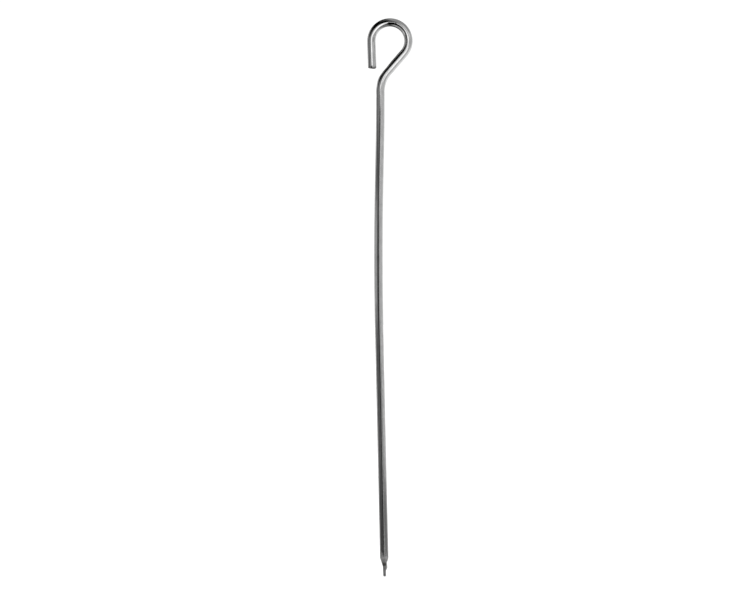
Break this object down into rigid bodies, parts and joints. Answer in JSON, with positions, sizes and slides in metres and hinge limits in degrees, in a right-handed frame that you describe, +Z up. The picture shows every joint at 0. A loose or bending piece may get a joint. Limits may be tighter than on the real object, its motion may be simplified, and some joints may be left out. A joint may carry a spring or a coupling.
{
  "type": "tent stake",
  "caption": "Round steel wire ground peg with a forged point at one end and an open hook bent at the other, for holding down a tent or guy line.",
  "frame": {"origin": "end of the point, on the axis of the straight lower shank", "axes": "+Z runs up the lower shank towards the hook; the whole wire lies in the XZ plane; the hook's loop is on the +X side and its free leg and mouth are on the -X side; Y is across the hook"},
  "size_m": [0.0326, 0.006, 0.4],
  "materials": {
    "plated_wire": "bright plated drawn steel wire, polished at the hook, duller and scuffed towards the point"
  },
  "bodies": {
    "root": {"stake_wire": "plated_wire"}
  },
  "joints": []
}
